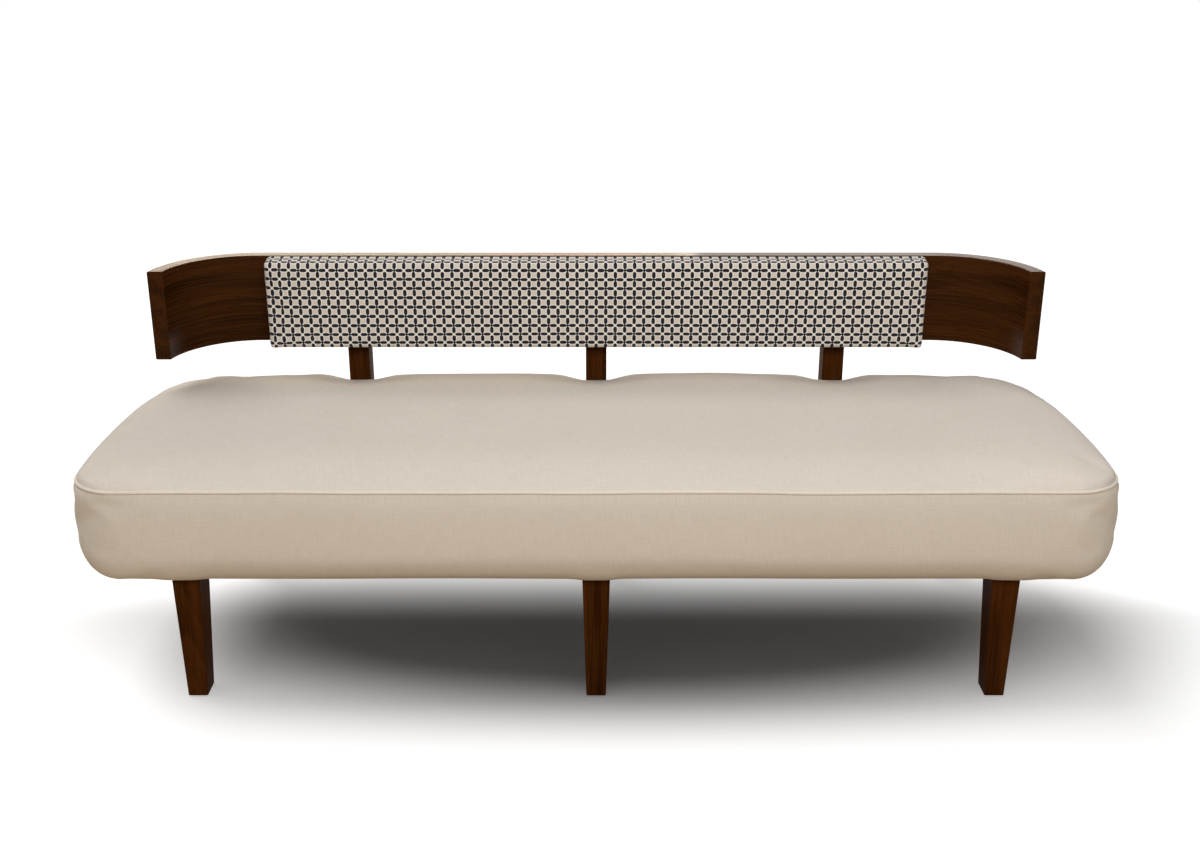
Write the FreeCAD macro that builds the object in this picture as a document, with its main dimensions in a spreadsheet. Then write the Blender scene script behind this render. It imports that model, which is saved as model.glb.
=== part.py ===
import FreeCAD, Part
import math
import os
import re
import Sketcher

# Settee bench: a boxed, piped seat on tapered legs, with a bent-wood back rail and a padded back.
# Millimetres, +Z up, +X to the right and the front towards -Y.
# The origin is on the floor, under the middle of the seat.

SIZES = {
    # Seat cushion, measured over the cover at the piped seam
    "seat_width": 1840,
    "seat_depth": 650,
    "seat_bottom": 242,
    "boxing_height": 187,
    "boxing_swell": 3,
    "crown_rise": 28,
    "front_corner": 75,
    "rear_corner": 110,
    "cover_thickness": 2.5,
    "piping_diameter": 7,
    "side_padding": 37.2,
    "end_padding": 67.2,
    "roll_lap": 10,
    "flange_width": 22,
    "dust_thickness": 1,
    # Seat frame and suspension
    "frame_thickness": 28,
    "frame_height": 100,
    "frame_corner": 30,
    "bearer_width": 100,
    "bearer_thickness": 45,
    "block_size": 32,
    "block_height": 80,
    "tenon_length": 16,
    "end_tenon_thickness": 12,
    "end_tenon_height": 60,
    "bearer_tenon_width": 60,
    "bearer_tenon_thickness": 20,
    "webbing_thickness": 1.5,
    "webbing_width": 50,
    "webbing_margin": 3,
    "deck_thickness": 1.2,
    # Legs
    "leg_inset": 183,
    "leg_setback": 45,
    "leg_top_width": 50,
    "leg_top_depth": 68,
    "leg_foot_width": 36,
    "leg_foot_depth": 48,
    "leg_arris": 2,
    "leg_tenon_width": 30,
    "leg_tenon_depth": 34,
    "leg_tenon_margin": 7,
    "glide_width": 28,
    "glide_length": 38,
    "glide_height": 3,
    # Back posts and their bolts
    "post_inset": 424,
    "post_width": 43,
    "post_depth": 48,
    "post_setback": 14,
    "post_housing": 4,
    "post_top_gap": 22,
    "post_tenon_width": 25,
    "post_tenon_thickness": 12,
    "post_tenon_height": 20,
    "bolt_diameter": 8,
    "bolt_margin": 38,
    "bolt_head_height": 5.5,
    "bolt_stub": 2,
    "hexagon_size": 15,
    "nut_height": 6.5,
    # Back rail
    "back_gap": 95,
    "back_height": 180,
    "back_thickness": 30,
    "arm_inset": 40,
    "arm_radius": 160,
    "arm_reach": 163,
    "back_arris": 1.5,
    # Back pad
    "pad_inset": 22,
    "pad_thickness": 46,
    "pad_top_gap": 3,
    "pad_corner": 8,
    "pad_edge": 11,
    "pad_crown": 4,
    "board_thickness": 12,
    "tongue_inset": 118,
    "tongue_depth": 8,
    "tongue_thickness": 8,
    # Clearances
    "soft_clearance": 0.3,
    "fit_clearance": 0.15,
}

PLACES = {
    "half_width": "seat_width / 2",
    "half_depth": "seat_depth / 2",
    "seam_level": "seat_bottom + boxing_height",
    "soft_gap": "cover_thickness + soft_clearance",
    "frame_setback": "soft_gap + side_padding",
    "roll_radius": "frame_setback + roll_lap",
    "roll_top": "seat_bottom + roll_radius",
    "frame_end": "half_width - soft_gap - end_padding",
    "frame_side": "half_depth - frame_setback",
    "frame_inner": "frame_side - frame_thickness",
    "frame_bottom": "seat_bottom + cover_thickness",
    "frame_edge": "roll_lap + cover_thickness",
    "frame_top": "frame_bottom + frame_height",
    "end_inner": "frame_end - frame_thickness",
    "end_top": "frame_top + webbing_thickness",
    "deck_bottom": "end_top + webbing_thickness",
    "deck_top": "deck_bottom + deck_thickness",
    "deck_reach": "frame_side - post_housing - webbing_margin",
    "bearer_top": "frame_bottom + bearer_thickness",
    "leg_spacing": "half_width - leg_inset",
    "leg_front": "half_depth - leg_setback",
    "leg_tenon_place": "frame_inner - leg_tenon_margin - leg_tenon_depth / 2",
    "glide_place": "leg_front - leg_foot_depth / 2",
    "post_spacing": "half_width - post_inset",
    "post_rear": "half_depth - post_setback",
    "post_front": "post_rear - post_depth",
    "post_lap": "frame_side - post_housing",
    "post_foot": "frame_bottom + roll_radius / 2",
    "post_shoulder": "deck_top + soft_clearance",
    "post_top": "back_top - post_top_gap",
    "bolt_level": "frame_top - bolt_margin",
    "back_bottom": "seam_level + back_gap",
    "back_top": "back_bottom + back_height",
    "back_rear": "post_front + back_thickness",
    "back_straight": "2 * (half_width - arm_inset - arm_radius - back_thickness)",
    "pad_width": "back_straight - 2 * pad_inset",
    "pad_height": "back_height - pad_top_gap",
    "pad_middle": "back_bottom + pad_height / 2",
    "pad_shoulder": "pad_thickness - pad_crown - pad_edge",
    "tongue_length": "pad_width - 2 * tongue_inset",
    "piping_radius": "piping_diameter / 2",
    "piping_proud": "piping_radius - cover_thickness",
}

SIDES = {"left": -1, "centre": 0, "right": 1}
HANDS = {"left": -1, "right": 1}
ROWS = {"front": -1, "rear": 1}
ROLL_ANGLES = (0, 22.5, 45, 67.5, 90)
PIPING_ANGLES = (-90, -45, 0, 45, 90)
SWELL_STEPS = (0.25, 0.5, 0.75, 1)
CROWN_STEPS = (0, 0.05, 0.12, 0.22, 0.36, 0.56, 0.86)
CROWN_SPREAD = 0.34
PAD_STEPS = (0.33, 0.67, 1)
PAD_SPREAD = 0.3
CROSS_STRAPS = 12
LONG_STRAPS = 4

CONCENTRIC = "max({corner} - ({inset}); {corner} / 10)"
SIMILAR = "{corner} * (1 - 2 * ({inset}) / seat_depth)"

doc = FreeCAD.newDocument("settee_bench")
sheet = doc.addObject("Spreadsheet::Sheet", "sizes")
nodes = {}


def fill_sheet():
    """Write each driving size in a cell of its own, under its name."""
    for row, (name, size) in enumerate(SIZES.items(), start=1):
        sheet.set(f"A{row}", name)
        sheet.set(f"B{row}", str(size))
        sheet.setAlias(f"B{row}", name)
    doc.recompute()


def formula(text):
    """Spell out a formula on named sizes and places as an expression on the sheet's cells."""

    def spell(match):
        word = match.group(0)
        if word in PLACES:
            return f"({formula(PLACES[word])})"
        return f"sizes.{word}" if word in SIZES else word

    return re.sub(r"[a-z_]+", spell, text)


def value(text):
    """Give a formula's present value."""
    return float(sheet.evalExpression(formula(text)))


def node(label, solid):
    """Name a finished sub-part."""
    solid.Label = label
    nodes[label] = solid


# Solids between named places


def box(name, x, y, z):
    """Make a block from its low and high places along each axis."""
    block = doc.addObject("Part::Box", name)
    for size, axis, (low, high) in (("Length", "x", x), ("Width", "y", y), ("Height", "z", z)):
        block.setExpression(size, formula(f"({high}) - ({low})"))
        block.setExpression(f"Placement.Base.{axis}", formula(low))
    return block


def span(middle, width):
    """Give the low and high places of a width about a middle."""
    return f"{middle} - ({width}) / 2", f"{middle} + ({width}) / 2"


def even(half):
    """Give the low and high places of a half width about the middle of the bench."""
    return f"-({half})", f"{half}"


def between(sign, near, far):
    """Give the low and high places of a stretch on the negative or the positive side of the middle."""
    return (f"-({far})", f"-({near})") if sign < 0 else (near, far)


def lay_forward(solid, x, y, z):
    """Lay an upright solid forward, its foot at a named place."""
    forward = FreeCAD.Rotation(FreeCAD.Vector(1, 0, 0), 90)
    solid.Placement = FreeCAD.Placement(FreeCAD.Vector(), forward)
    for axis, place in (("x", x), ("y", y), ("z", z)):
        solid.setExpression(f"Placement.Base.{axis}", formula(place))
    return solid


def rod(name, diameter, length):
    """Make an upright round bar."""
    bar = doc.addObject("Part::Cylinder", name)
    bar.setExpression("Radius", formula(f"({diameter}) / 2"))
    bar.setExpression("Height", formula(length))
    return bar


def hexagon(name, length):
    """Make an upright hexagonal block."""
    block = doc.addObject("Part::Prism", name)
    block.Polygon = 6
    block.setExpression("Circumradius", formula("hexagon_size / 2"))
    block.setExpression("Height", formula(length))
    return block


def cut(name, base, *tools):
    """Cut tools out of a solid, one after the other."""
    for number, tool in enumerate(tools, start=1):
        result = doc.addObject("Part::Cut", f"{name}_cut_{number}")
        result.Base = base
        result.Tool = tool
        base = result
    return base


def join(name, solids):
    """Join touching solids into one."""
    result = doc.addObject("Part::MultiFuse", name)
    result.Shapes = solids
    return result


def common(name, base, tool):
    """Keep the part of a solid that lies within another."""
    result = doc.addObject("Part::Common", name)
    result.Base = base
    result.Tool = tool
    return result


def group(name, solids):
    """Gather separate solids."""
    result = doc.addObject("Part::Compound", name)
    result.Links = solids
    return result


# Sketched outlines and lofts


def new_body(name):
    """Start a body."""
    return doc.addObject("PartDesign::Body", name)


def origin_plane(body, role):
    """Find one of a body's own origin planes."""
    return next(feature for feature in body.Origin.OriginFeatures if feature.Role == role)


def new_sketch(body, name, role, level="0", middle="0"):
    """Start a sketch on a body's own plane, raised to a level and moved to a middle."""
    sketch = body.newObject("Sketcher::SketchObject", name)
    sketch.AttachmentSupport = [(origin_plane(body, role), "")]
    sketch.MapMode = "FlatFace"
    sketch.setExpression("AttachmentOffset.Base.y", formula(middle))
    sketch.setExpression("AttachmentOffset.Base.z", formula(level))
    return sketch


def dimension(sketch, name, kind, *geometry, size):
    """Add a named dimension that follows a formula."""
    index = sketch.addConstraint(Sketcher.Constraint(kind, *geometry, value(size)))
    sketch.renameConstraint(index, name)
    sketch.setExpression(f"Constraints.{name}", formula(size))


def arc(x, y, radius, start, end):
    """Make an arc of a circle between two angles in degrees."""
    circle = Part.Circle(FreeCAD.Vector(x, y), FreeCAD.Vector(0, 0, 1), radius)
    return Part.ArcOfCircle(circle, math.radians(start), math.radians(end))


def line(x1, y1, x2, y2):
    """Make a straight edge."""
    return Part.LineSegment(FreeCAD.Vector(x1, y1), FreeCAD.Vector(x2, y2))


def outline(body, name, role, level, width, depth, corners, middle="0"):
    """Draw a rounded rectangle with one corner radius on its low side and one on its high side."""
    sketch = new_sketch(body, name, role, level, middle)
    x = value(width) / 2
    y = value(depth) / 2
    low, high = map(value, corners)
    sketch.addGeometry([
        line(low - x, -y, x - low, -y),
        arc(x - low, low - y, low, 270, 360),
        line(x, low - y, x, y - high),
        arc(x - high, y - high, high, 0, 90),
        line(x - high, y, high - x, y),
        arc(high - x, y - high, high, 90, 180),
        line(-x, y - high, -x, low - y),
        arc(low - x, low - y, low, 180, 270),
    ])
    edges = sketch.GeometryCount
    for edge in range(edges):
        sketch.addConstraint(Sketcher.Constraint("Tangent", edge, 2, (edge + 1) % edges, 1))
    sketch.addConstraint([
        Sketcher.Constraint("Horizontal", 4),
        Sketcher.Constraint("Vertical", 2),
        Sketcher.Constraint("Vertical", 6),
        Sketcher.Constraint("Symmetric", 0, 1, 0, 2, -2),
        Sketcher.Constraint("Equal", 1, 7),
        Sketcher.Constraint("Equal", 3, 5),
    ])
    dimension(sketch, "wide", "DistanceX", 6, 1, 2, 1, size=width)
    dimension(sketch, "below", "DistanceY", 0, 1, -1, 1, size=f"({depth}) / 2")
    dimension(sketch, "above", "DistanceY", -1, 1, 4, 1, size=f"({depth}) / 2")
    dimension(sketch, "low_corner", "Radius", 1, size=corners[0])
    dimension(sketch, "high_corner", "Radius", 3, size=corners[1])
    return sketch


def loft(body, name, sections):
    """Loft a solid through sketches, straight from each to the next."""
    feature = body.newObject("PartDesign::AdditiveLoft", name)
    feature.Profile = sections[0]
    feature.Sections = sections[1:]
    feature.Ruled = True


def pad(body, name, sketch, length):
    """Raise a solid from a sketch."""
    feature = body.newObject("PartDesign::Pad", name)
    feature.Profile = sketch
    feature.setExpression("Length", formula(length))
    return feature


# Levels of the soft forms, each a place and how far the outline is drawn in there


def seat_form(body, name, levels, corner_rule):
    """Loft a stretch of the seat through its levels."""
    sections = []
    for number, (level, inset) in enumerate(levels):
        corners = [corner_rule.format(corner=corner, inset=inset) for corner in ("front_corner", "rear_corner")]
        width = f"seat_width - 2 * ({inset})"
        depth = f"seat_depth - 2 * ({inset})"
        sections.append(outline(body, f"{name}_{number}", "XY_Plane", level, width, depth, corners))
    loft(body, f"{name}_loft", sections)
    return body


def roll_levels(gap):
    """Give the levels of the seat's rolled bottom edge, a gap inside the cover's face."""
    radius = f"(roll_radius - {gap})"
    return [
        (
            f"seat_bottom + {gap} + {radius} * (1 - cos({angle} deg))",
            f"{gap} + {radius} * (1 - sin({angle} deg))",
        )
        for angle in ROLL_ANGLES
    ]


def side_levels(gap):
    """Give the levels of the boxed side, which swells a little between its roll and its seam."""
    return [
        (f"roll_top + {step} * (seam_level - roll_top)", f"{gap} - {4 * step * (1 - step)} * boxing_swell")
        for step in SWELL_STEPS
    ]


def crown_levels(gap):
    """Give the levels of the crowned top, from the seam to the nearly flat middle."""
    return [
        (
            f"seam_level + (crown_rise - {gap}) * (1 - (1 - {step})^3)",
            f"2 * {gap} + {step * CROWN_SPREAD} * seat_depth",
        )
        for step in CROWN_STEPS
    ]


def piping_levels(slack):
    """Give the levels of the piping's round nose."""
    radius = f"(piping_radius + {slack})"
    return [
        (f"seam_level + {radius} * sin({angle} deg)", f"-piping_proud - {radius} * cos({angle} deg)")
        for angle in PIPING_ANGLES
    ]


def pad_levels(gap, back):
    """Give the levels of the back pad, from its back round its soft edge to its crown."""
    edge = f"(pad_edge - {gap})"
    levels = [(back, gap)]
    for angle in ROLL_ANGLES:
        levels.append((
            f"pad_shoulder + {edge} * sin({angle} deg)",
            f"{gap} + {edge} * (1 - cos({angle} deg))",
        ))
    for step in PAD_STEPS:
        rise = 1 - (1 - step) ** 2
        levels.append((f"pad_shoulder + {edge} + {rise} * pad_crown", f"pad_edge + {step * PAD_SPREAD} * pad_height"))
    return levels


def pad_form(name, levels):
    """Loft the back pad forward from the rail's face."""
    body = new_body(name)
    sections = []
    for number, (depth, inset) in enumerate(levels):
        level = f"{depth} - post_front"
        width = f"pad_width - 2 * ({inset})"
        height = f"pad_height - 2 * ({inset})"
        corners = ("pad_corner", "pad_corner")
        sections.append(outline(body, f"{name}_{number}", "XZ_Plane", level, width, height, corners, "pad_middle"))
    loft(body, f"{name}_loft", sections)
    return body


# Spaces that one piece leaves for another


def post_spaces():
    """Make the spaces that the posts and their bolt heads take in the upholstery."""
    spaces = []
    for side, step in SIDES.items():
        place = f"{step} * post_spacing"
        shaft = box(
            f"post_space_{side}",
            span(place, "post_width + 2 * soft_clearance"),
            ("post_front - soft_clearance", "post_rear + soft_clearance"),
            ("post_foot - soft_clearance", "seam_level + crown_rise + cover_thickness"),
        )
        head = "hexagon_size / 2 + soft_clearance"
        recess = box(
            f"head_space_{side}",
            span(place, f"2 * ({head})"),
            ("post_rear", "post_rear + bolt_head_height + soft_clearance"),
            span("bolt_level", f"2 * ({head})"),
        )
        spaces.append(join(f"post_and_head_space_{side}", [shaft, recess]))
    return group("post_spaces", spaces)


def leg_spaces():
    """Make the spaces that the leg tops take in the cloth under the seat."""
    spaces = []
    for side, step in SIDES.items():
        for row, sign in ROWS.items():
            spaces.append(box(
                f"{row}_leg_space_{side}",
                span(f"{step} * leg_spacing", "leg_top_width + 2 * soft_clearance"),
                between(sign, "leg_front - leg_top_depth - soft_clearance", "leg_front + soft_clearance"),
                ("seat_bottom - cover_thickness", "frame_bottom"),
            ))
    return group("leg_spaces", spaces)


def piping_ring(name, slack):
    """Make the piping along the seam, round outside and flat inside, a slack larger all round."""
    nose = seat_form(new_body(f"{name}_nose"), f"{name}_nose", piping_levels(slack), CONCENTRIC)
    inset = f"cover_thickness + {slack}"
    levels = [(f"seam_level + {sign} * piping_diameter", inset) for sign in (-1, 1)]
    core = seat_form(new_body(f"{name}_core"), f"{name}_core", levels, CONCENTRIC)
    return cut(name, nose, core)


def end_tenons(name, slack="0"):
    """Make the end rails' tenons, or the mortises for them with a slack."""
    tenons = []
    for hand, sign in HANDS.items():
        for row, turn in ROWS.items():
            tenons.append(box(
                f"{name}_{row}_{hand}",
                span(f"{sign} * (frame_end - frame_thickness / 2)", f"end_tenon_thickness + 2 * {slack}"),
                between(turn, "frame_inner - tenon_length", f"frame_inner + tenon_length + {slack}"),
                span("frame_bottom + frame_height / 2", f"end_tenon_height + 2 * {slack}"),
            ))
    return tenons


def bearer_tenons(name, slack="0"):
    """Make the bearers' tenons, or the mortises for them with a slack."""
    tenons = []
    for side, step in SIDES.items():
        for row, turn in ROWS.items():
            tenons.append(box(
                f"{name}_{row}_{side}",
                span(f"{step} * leg_spacing", f"bearer_tenon_width + 2 * {slack}"),
                between(turn, "frame_inner - tenon_length", f"frame_inner + tenon_length + {slack}"),
                span("frame_bottom + bearer_thickness / 2", f"bearer_tenon_thickness + 2 * {slack}"),
            ))
    return tenons


def leg_tenon(name, step, row, slack="0"):
    """Make a leg's tenon up through its bearer, or the mortise for it with a slack."""
    return box(
        name,
        span(f"{step} * leg_spacing", f"leg_tenon_width + 2 * {slack}"),
        span(f"{ROWS[row]} * leg_tenon_place", f"leg_tenon_depth + 2 * {slack}"),
        ("frame_bottom", "bearer_top"),
    )


def bolt_rods(name, diameter):
    """Make the round bars of the posts' bolts, from the posts' rear faces through the rear rail."""
    length = "post_rear - frame_inner + nut_height + bolt_stub"
    rods = []
    for side, step in SIDES.items():
        bar = rod(f"{name}_{side}", diameter, length)
        rods.append(lay_forward(bar, f"{step} * post_spacing", "post_rear", "bolt_level"))
    return rods


def bolt_holes(name):
    """Make the holes for the posts' bolts."""
    return group(name, bolt_rods(f"{name}_rod", "bolt_diameter + 2 * fit_clearance"))


# Seat frame and suspension


def frame_block(name, slack, top):
    """Make the block that the seat frame is cut from, with rounded corners."""
    body = new_body(name)
    width = f"2 * (frame_end + {slack})"
    depth = f"2 * (frame_side + {slack})"
    corners = (f"frame_corner + {slack}", f"frame_corner + {slack}")
    sketch = outline(body, f"{name}_outline", "XY_Plane", "frame_bottom", width, depth, corners)
    return body, pad(body, f"{name}_pad", sketch, f"{top} - frame_bottom")


def face_at(feature, pick, axis):
    """Name the face of a feature whose middle is first or last along an axis."""
    places = [getattr(face.CenterOfMass, axis) for face in feature.Shape.Faces]
    return f"Face{places.index(pick(places)) + 1}"


def long_rails(block):
    """Make the frame's front and rear rails, mortised, the rear one bored and housed for the posts."""
    mortises = group(
        "mortises",
        end_tenons("end_mortise", "fit_clearance") + bearer_tenons("bearer_mortise", "fit_clearance"),
    )
    housings = []
    for side, step in SIDES.items():
        housings.append(box(
            f"housing_{side}",
            span(f"{step} * post_spacing", "post_width + 2 * fit_clearance"),
            ("post_lap - fit_clearance", "frame_side + fit_clearance"),
            ("post_foot - fit_clearance", "end_top"),
        ))
    extra = {"front": [], "rear": [bolt_holes("rail_bolt_holes"), group("housings", housings)]}
    for row, sign in ROWS.items():
        place = between(sign, "frame_inner", "frame_side")
        bar = box(f"{row}_bar", even("frame_end"), place, ("frame_bottom", "frame_top"))
        shaped = common(f"{row}_bar_shaped", bar, block)
        node(f"{row}_rail", cut(f"{row}_rail", shaped, mortises, *extra[row]))


def cross_members(block):
    """Make the end rails and the leg bearers with their tenons, and the glued corner blocks."""
    tenons = end_tenons("end_tenon")
    for index, (hand, sign) in enumerate(HANDS.items()):
        place = between(sign, "end_inner", "frame_end")
        bar = box(f"{hand}_bar", place, even("frame_inner"), ("frame_bottom", "end_top"))
        shaped = common(f"{hand}_bar_shaped", bar, block)
        node(f"{hand}_end_rail", join(f"{hand}_end_rail", [shaped] + tenons[2 * index:2 * index + 2]))
    tenons = bearer_tenons("bearer_tenon")
    for index, (side, step) in enumerate(SIDES.items()):
        place = span(f"{step} * leg_spacing", "bearer_width")
        bar = box(f"bearer_bar_{side}", place, even("frame_inner"), ("frame_bottom", "bearer_top"))
        bearer = join(f"bearer_{side}", [bar] + tenons[2 * index:2 * index + 2])
        mortises = [leg_tenon(f"{row}_leg_mortise_{side}", step, row, "fit_clearance") for row in ROWS]
        node(f"leg_bearer_{side}", cut(f"leg_bearer_{side}", bearer, *mortises))
    blocks = []
    for hand, sign in HANDS.items():
        across = between(sign, "end_inner - block_size", "end_inner")
        for row, turn in ROWS.items():
            along = between(turn, "frame_inner - block_size", "frame_inner")
            blocks.append(box(f"block_{row}_{hand}", across, along, ("frame_top - block_height", "frame_top")))
    node("corner_blocks", group("corner_blocks", blocks))


def seat_frame():
    """Make the frame's rails, bearers and blocks within one block with an eased bottom edge."""
    block, raised = frame_block("frame_block", "0", "end_top")
    doc.recompute()
    eased = block.newObject("PartDesign::Chamfer", "frame_eased")
    eased.Base = (raised, [face_at(raised, min, "z")])
    eased.setExpression("Size", formula("frame_edge"))
    long_rails(block)
    cross_members(block)


def suspension():
    """Lay the cross webbing on the long rails, the long webbing over it, and the deck cloth on top."""
    cross = []
    for number in range(CROSS_STRAPS):
        share = (number + 0.5) / CROSS_STRAPS * 2 - 1
        place = span(f"{share} * end_inner", "webbing_width")
        cross.append(box(f"cross_strap_{number}", place, even("deck_reach"), ("frame_top", "end_top")))
    node("cross_webbing", group("cross_webbing", cross))
    along = []
    reach = even("frame_end - webbing_margin")
    for number in range(LONG_STRAPS):
        share = (number + 0.5) / LONG_STRAPS * 2 - 1
        place = span(f"{share} * frame_inner", "webbing_width")
        along.append(box(f"long_strap_{number}", reach, place, ("end_top", "deck_bottom")))
    node("long_webbing", group("long_webbing", along))
    body = new_body("deck")
    width = "2 * (frame_end - webbing_margin)"
    corners = ("frame_corner", "frame_corner")
    sketch = outline(body, "deck_outline", "XY_Plane", "deck_bottom", width, "2 * deck_reach", corners)
    pad(body, "deck_pad", sketch, "deck_thickness")
    node("deck_cloth", body)


# Upholstery of the seat


def seat_covers(posts):
    """Make the crowned top, the boxed side rolled under the frame, the piping and the dust cover."""
    legs = leg_spaces()
    groove = piping_ring("groove", "fit_clearance")
    tops = []
    bands = []
    for name, gap in (("outer", "0"), ("inner", "cover_thickness")):
        tops.append(seat_form(new_body(f"top_{name}"), f"top_{name}", crown_levels(gap), SIMILAR))
        levels = roll_levels(gap) + side_levels(gap)
        bands.append(seat_form(new_body(f"band_{name}"), f"band_{name}", levels, CONCENTRIC))
    node("seat_top_cover", cut("seat_top_cover", *tops, groove, posts))
    opening = box(
        "underside_opening",
        even("frame_end - flange_width"),
        even("frame_side - flange_width"),
        ("seat_bottom - cover_thickness", "frame_bottom"),
    )
    node("seat_boxing", cut("seat_boxing", *bands, opening, groove, legs))
    node("seat_piping", piping_ring("piping", "0"))
    dust = box(
        "dust_sheet",
        even("frame_end - flange_width - soft_clearance"),
        even("frame_side - flange_width - soft_clearance"),
        ("frame_bottom - dust_thickness", "frame_bottom"),
    )
    node("dust_cover", cut("dust_cover", dust, legs))


def seat_filling(posts):
    """Make the foam block on the deck and the padding round the frame below it."""
    foam = new_body("foam")
    sides = [("deck_top + soft_clearance", "soft_gap"), ("seam_level", "soft_gap")]
    seat_form(foam, "foam_side", sides, CONCENTRIC)
    seat_form(foam, "foam_crown", crown_levels("soft_gap"), SIMILAR)
    node("seat_foam", cut("seat_foam", foam, posts))
    levels = roll_levels("soft_gap") + [("deck_top", "soft_gap")]
    padding = seat_form(new_body("padding"), "padding", levels, CONCENTRIC)
    frame_space, _ = frame_block("frame_space", "soft_clearance", "deck_top + cover_thickness")
    below = box("under_frame", even("half_width"), even("half_depth"), ("seat_bottom", "frame_bottom"))
    node("edge_padding", cut("edge_padding", padding, frame_space, below, posts))


# Legs


def leg_body(name):
    """Make a tapered leg with an upright outer face and eased long edges, its length along its own Y axis."""
    body = new_body(name)
    taper = body.newObject("PartDesign::AdditiveWedge", f"{name}_taper")
    places = {
        "Xmin": "-leg_foot_width / 2",
        "Xmax": "leg_foot_width / 2",
        "X2min": "-leg_top_width / 2",
        "X2max": "leg_top_width / 2",
        "Ymin": "glide_height",
        "Ymax": "frame_bottom",
        "Zmin": "leg_front - leg_foot_depth",
        "Zmax": "leg_front",
        "Z2min": "leg_front - leg_top_depth",
        "Z2max": "leg_front",
    }
    for side, place in places.items():
        taper.setExpression(side, formula(place))
    doc.recompute()
    edges = [f"Edge{number}" for number, edge in enumerate(taper.Shape.Edges, start=1) if edge.BoundBox.YLength > 1]
    eased = body.newObject("PartDesign::Chamfer", f"{name}_eased")
    eased.Base = (taper, edges)
    eased.setExpression("Size", formula("leg_arris"))
    return body


def legs():
    """Make the six legs, tenoned into their bearers, and the glides under them."""
    upright = FreeCAD.Rotation(FreeCAD.Vector(1, 0, 0), 90)
    turns = {"front": upright, "rear": FreeCAD.Rotation(FreeCAD.Vector(0, 0, 1), 180) * upright}
    glides = []
    for row, sign in ROWS.items():
        for side, step in SIDES.items():
            body = leg_body(f"{row}_leg_body_{side}")
            body.Placement = FreeCAD.Placement(FreeCAD.Vector(), turns[row])
            body.setExpression("Placement.Base.x", formula(f"{step} * leg_spacing"))
            tenon = leg_tenon(f"{row}_leg_tenon_{side}", step, row)
            node(f"{row}_leg_{side}", join(f"{row}_leg_{side}", [body, tenon]))
            glides.append(box(
                f"{row}_glide_{side}",
                span(f"{step} * leg_spacing", "glide_width"),
                span(f"{sign} * glide_place", "glide_length"),
                ("0", "glide_height"),
            ))
    node("glides", group("glides", glides))


# Back posts, rail and pad


def post_profile(body, name):
    """Draw a post from the side: lapped behind the frame at its foot and behind the rail at its top."""
    corners = (
        ("post_lap", "post_foot"),
        ("post_rear", "post_foot"),
        ("post_rear", "post_top"),
        ("back_rear", "post_top"),
        ("back_rear", "back_bottom"),
        ("post_front", "back_bottom"),
        ("post_front", "post_shoulder"),
        ("post_lap", "post_shoulder"),
    )
    sketch = new_sketch(body, name, "YZ_Plane")
    points = [(value(y), value(z)) for y, z in corners]
    for start, end in zip(points, points[1:] + points[:1]):
        sketch.addGeometry(line(*start, *end))
    for number, (y, z) in enumerate(corners):
        before = (number - 1) % len(corners)
        sketch.addConstraint(Sketcher.Constraint("Coincident", before, 2, number, 1))
        dimension(sketch, f"across_{number}", "DistanceX", -1, 1, number, 1, size=y)
        dimension(sketch, f"up_{number}", "DistanceY", -1, 1, number, 1, size=z)
    return sketch


def post_tenon(name, step, slack="0"):
    """Make a post's tenon up into the back rail, or the mortise for it with a slack."""
    return box(
        name,
        span(f"{step} * post_spacing", f"post_tenon_width + 2 * {slack}"),
        span("post_front + back_thickness / 2", f"post_tenon_thickness + 2 * {slack}"),
        ("back_bottom", f"back_bottom + post_tenon_height + {slack}"),
    )


def posts():
    """Make the three back posts with the bolts and nuts that hold them to the rear rail."""
    holes = bolt_holes("post_bolt_holes")
    for side, step in SIDES.items():
        body = new_body(f"post_{side}")
        raised = pad(body, f"post_{side}_pad", post_profile(body, f"post_{side}_profile"), "post_width")
        raised.Midplane = True
        body.setExpression("Placement.Base.x", formula(f"{step} * post_spacing"))
        whole = join(f"post_{side}_whole", [body, post_tenon(f"post_tenon_{side}", step)])
        node(f"back_post_{side}", cut(f"back_post_{side}", whole, holes))
    bolts = []
    nuts = []
    shanks = bolt_rods("bolt_shank", "bolt_diameter")
    for (side, step), shank in zip(SIDES.items(), shanks):
        place = f"{step} * post_spacing"
        head = hexagon(f"bolt_head_{side}", "bolt_head_height")
        lay_forward(head, place, "post_rear + bolt_head_height", "bolt_level")
        bolts.append(join(f"bolt_{side}", [head, shank]))
        nut = hexagon(f"nut_{side}", "nut_height")
        nuts.append(lay_forward(nut, place, "frame_inner", "bolt_level"))
    node("post_bolts", group("post_bolts", bolts))
    node("post_nuts", cut("post_nuts", group("nut_blanks", nuts), holes))


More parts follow.
